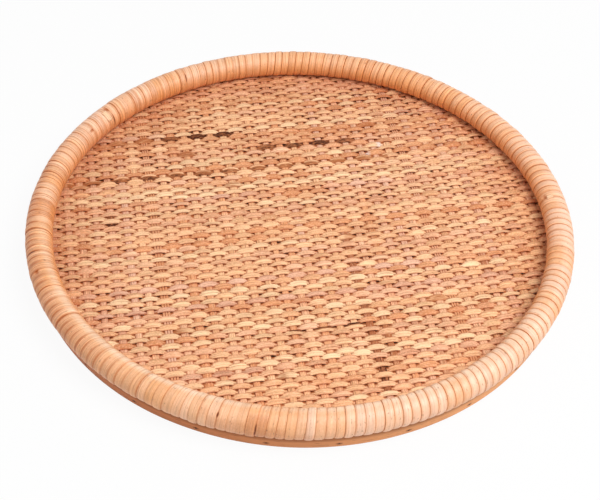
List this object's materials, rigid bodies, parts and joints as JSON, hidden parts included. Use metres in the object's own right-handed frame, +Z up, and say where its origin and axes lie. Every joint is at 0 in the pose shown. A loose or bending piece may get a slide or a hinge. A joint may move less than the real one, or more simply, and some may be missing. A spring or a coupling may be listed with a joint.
{
  "type": "rattan tray",
  "caption": "Round woven rattan tray with a cane-wound rim on a low hooped foot, for carrying and serving food.",
  "frame": {"origin": "middle of the foot's underside, on the surface that the tray stands on", "axes": "+Z up out of the tray, -Y towards the pictured front, +X to the picture's right"},
  "size_m": [0.3198, 0.3198, 0.0246],
  "materials": {
    "rim_cane": "satin",
    "pole_rattan": "matte",
    "panel_weave": "satin",
    "foot_rattan": "satin",
    "ledge_rattan": "matte",
    "pin_iron": "satin"
  },
  "bodies": {
    "root": {"foot_outer_hoop": "foot_rattan", "foot_inner_ledge": "ledge_rattan", "woven_panel": "panel_weave", "rim_pole": "pole_rattan", "cane_winding_1": "rim_cane", "cane_winding_2": "rim_cane", "cane_winding_3": "rim_cane", "cane_winding_4": "rim_cane", "cane_winding_5": "rim_cane", "cane_winding_6": "rim_cane", "cane_winding_7": "rim_cane", "cane_winding_8": "rim_cane", "cane_winding_9": "rim_cane", "foot_pin_01": "pin_iron", "foot_pin_02": "pin_iron", "foot_pin_03": "pin_iron", "foot_pin_04": "pin_iron", "foot_pin_05": "pin_iron", "foot_pin_06": "pin_iron", "foot_pin_07": "pin_iron", "foot_pin_08": "pin_iron", "foot_pin_09": "pin_iron", "foot_pin_10": "pin_iron", "foot_pin_11": "pin_iron", "foot_pin_12": "pin_iron", "foot_pin_13": "pin_iron", "foot_pin_14": "pin_iron", "foot_pin_15": "pin_iron", "foot_pin_16": "pin_iron", "foot_pin_17": "pin_iron", "foot_pin_18": "pin_iron", "foot_pin_19": "pin_iron", "foot_pin_20": "pin_iron", "foot_pin_21": "pin_iron", "foot_pin_22": "pin_iron", "foot_pin_23": "pin_iron", "foot_pin_24": "pin_iron", "foot_pin_25": "pin_iron", "foot_pin_26": "pin_iron"}
  },
  "joints": []
}
